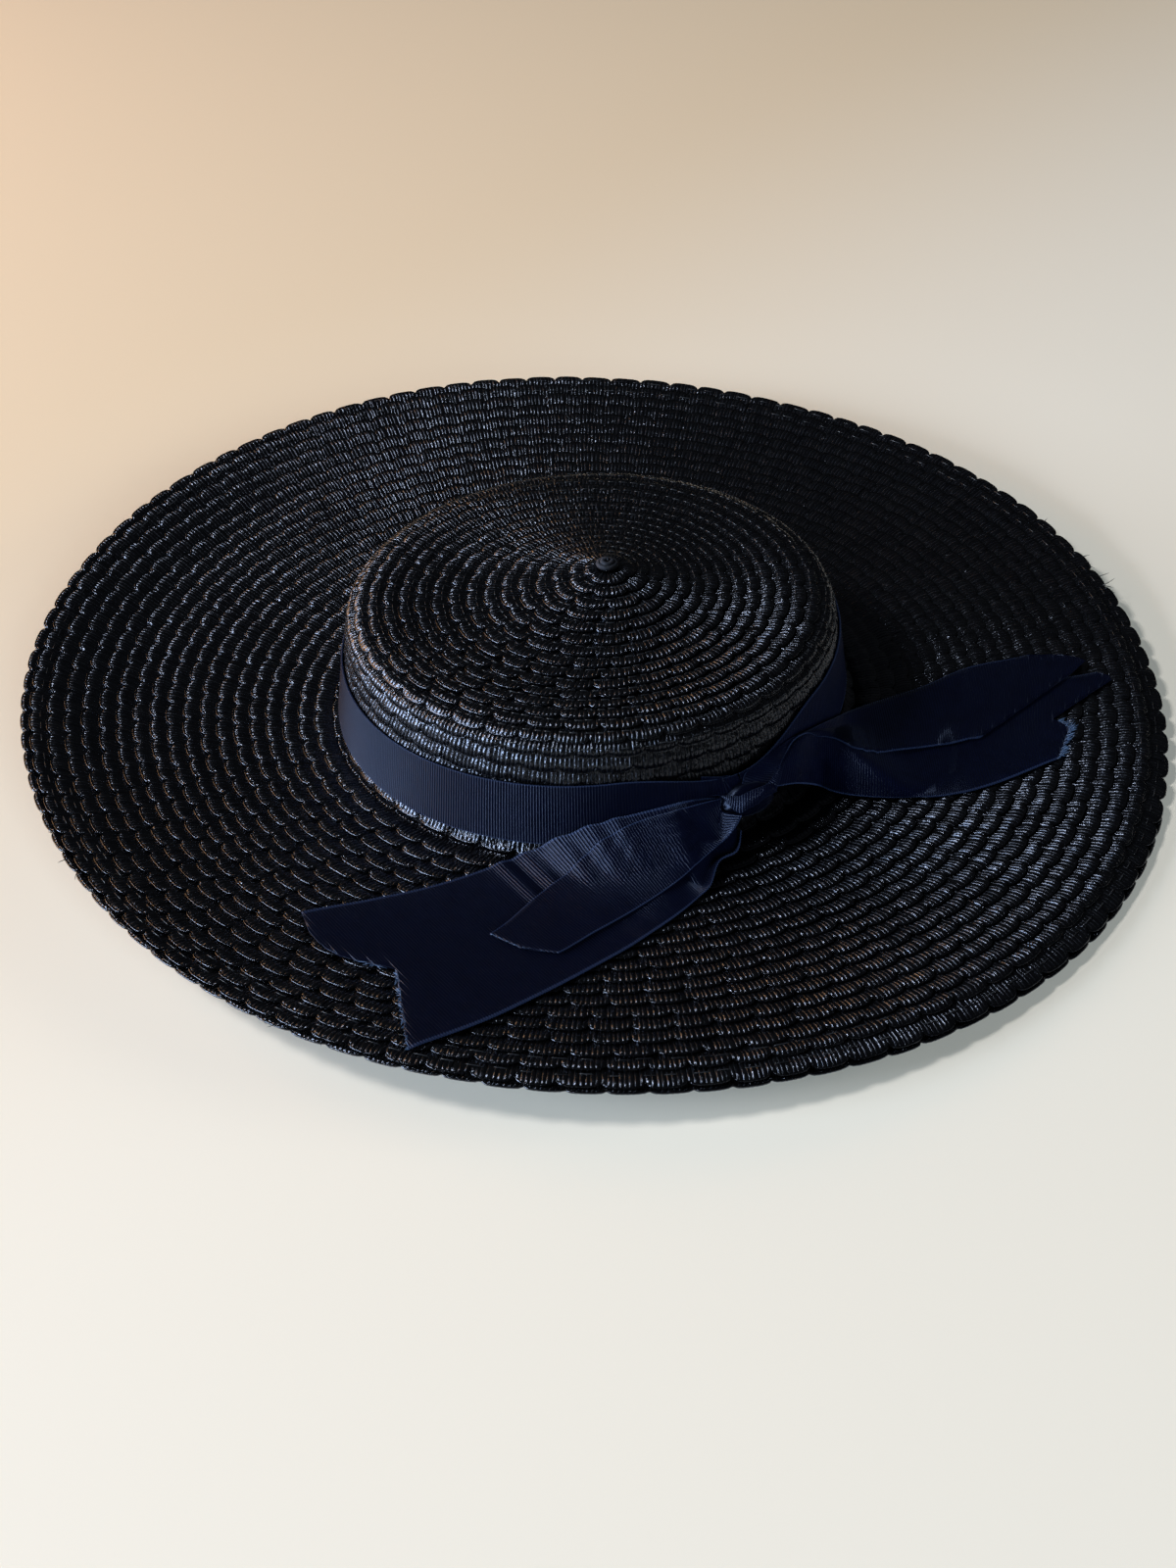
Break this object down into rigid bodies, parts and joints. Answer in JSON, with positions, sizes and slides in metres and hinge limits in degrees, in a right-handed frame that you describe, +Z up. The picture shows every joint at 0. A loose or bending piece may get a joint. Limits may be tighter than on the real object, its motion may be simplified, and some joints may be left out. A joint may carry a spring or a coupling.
{
  "type": "wide-brimmed straw hat with ribbon bow",
  "caption": "Low flat-crowned sun hat of glossy black sewn straw braid with a wide wavy scalloped brim, a navy grosgrain band and a tied bow with long tails.",
  "frame": {"origin": "middle of the head opening, on the surface that the hat stands on", "axes": "+Z up through the crown, +X to the wearer's left, the side of the bow's knot in the picture's view, -Y to the front of the picture's view"},
  "size_m": [0.4059, 0.412, 0.054],
  "materials": {
    "straw": "glossy black synthetic straw braid, ribbed and scalloped",
    "ribbon": "dark navy grosgrain ribbon, fine cross ribs, matt with a soft sheen"
  },
  "bodies": {
    "root": {"crown": "straw", "brim": "straw", "band": "ribbon", "knot": "ribbon", "tail_left_long": "ribbon", "tail_left_short": "ribbon", "tail_right_long": "ribbon", "tail_right_short": "ribbon"}
  },
  "joints": []
}
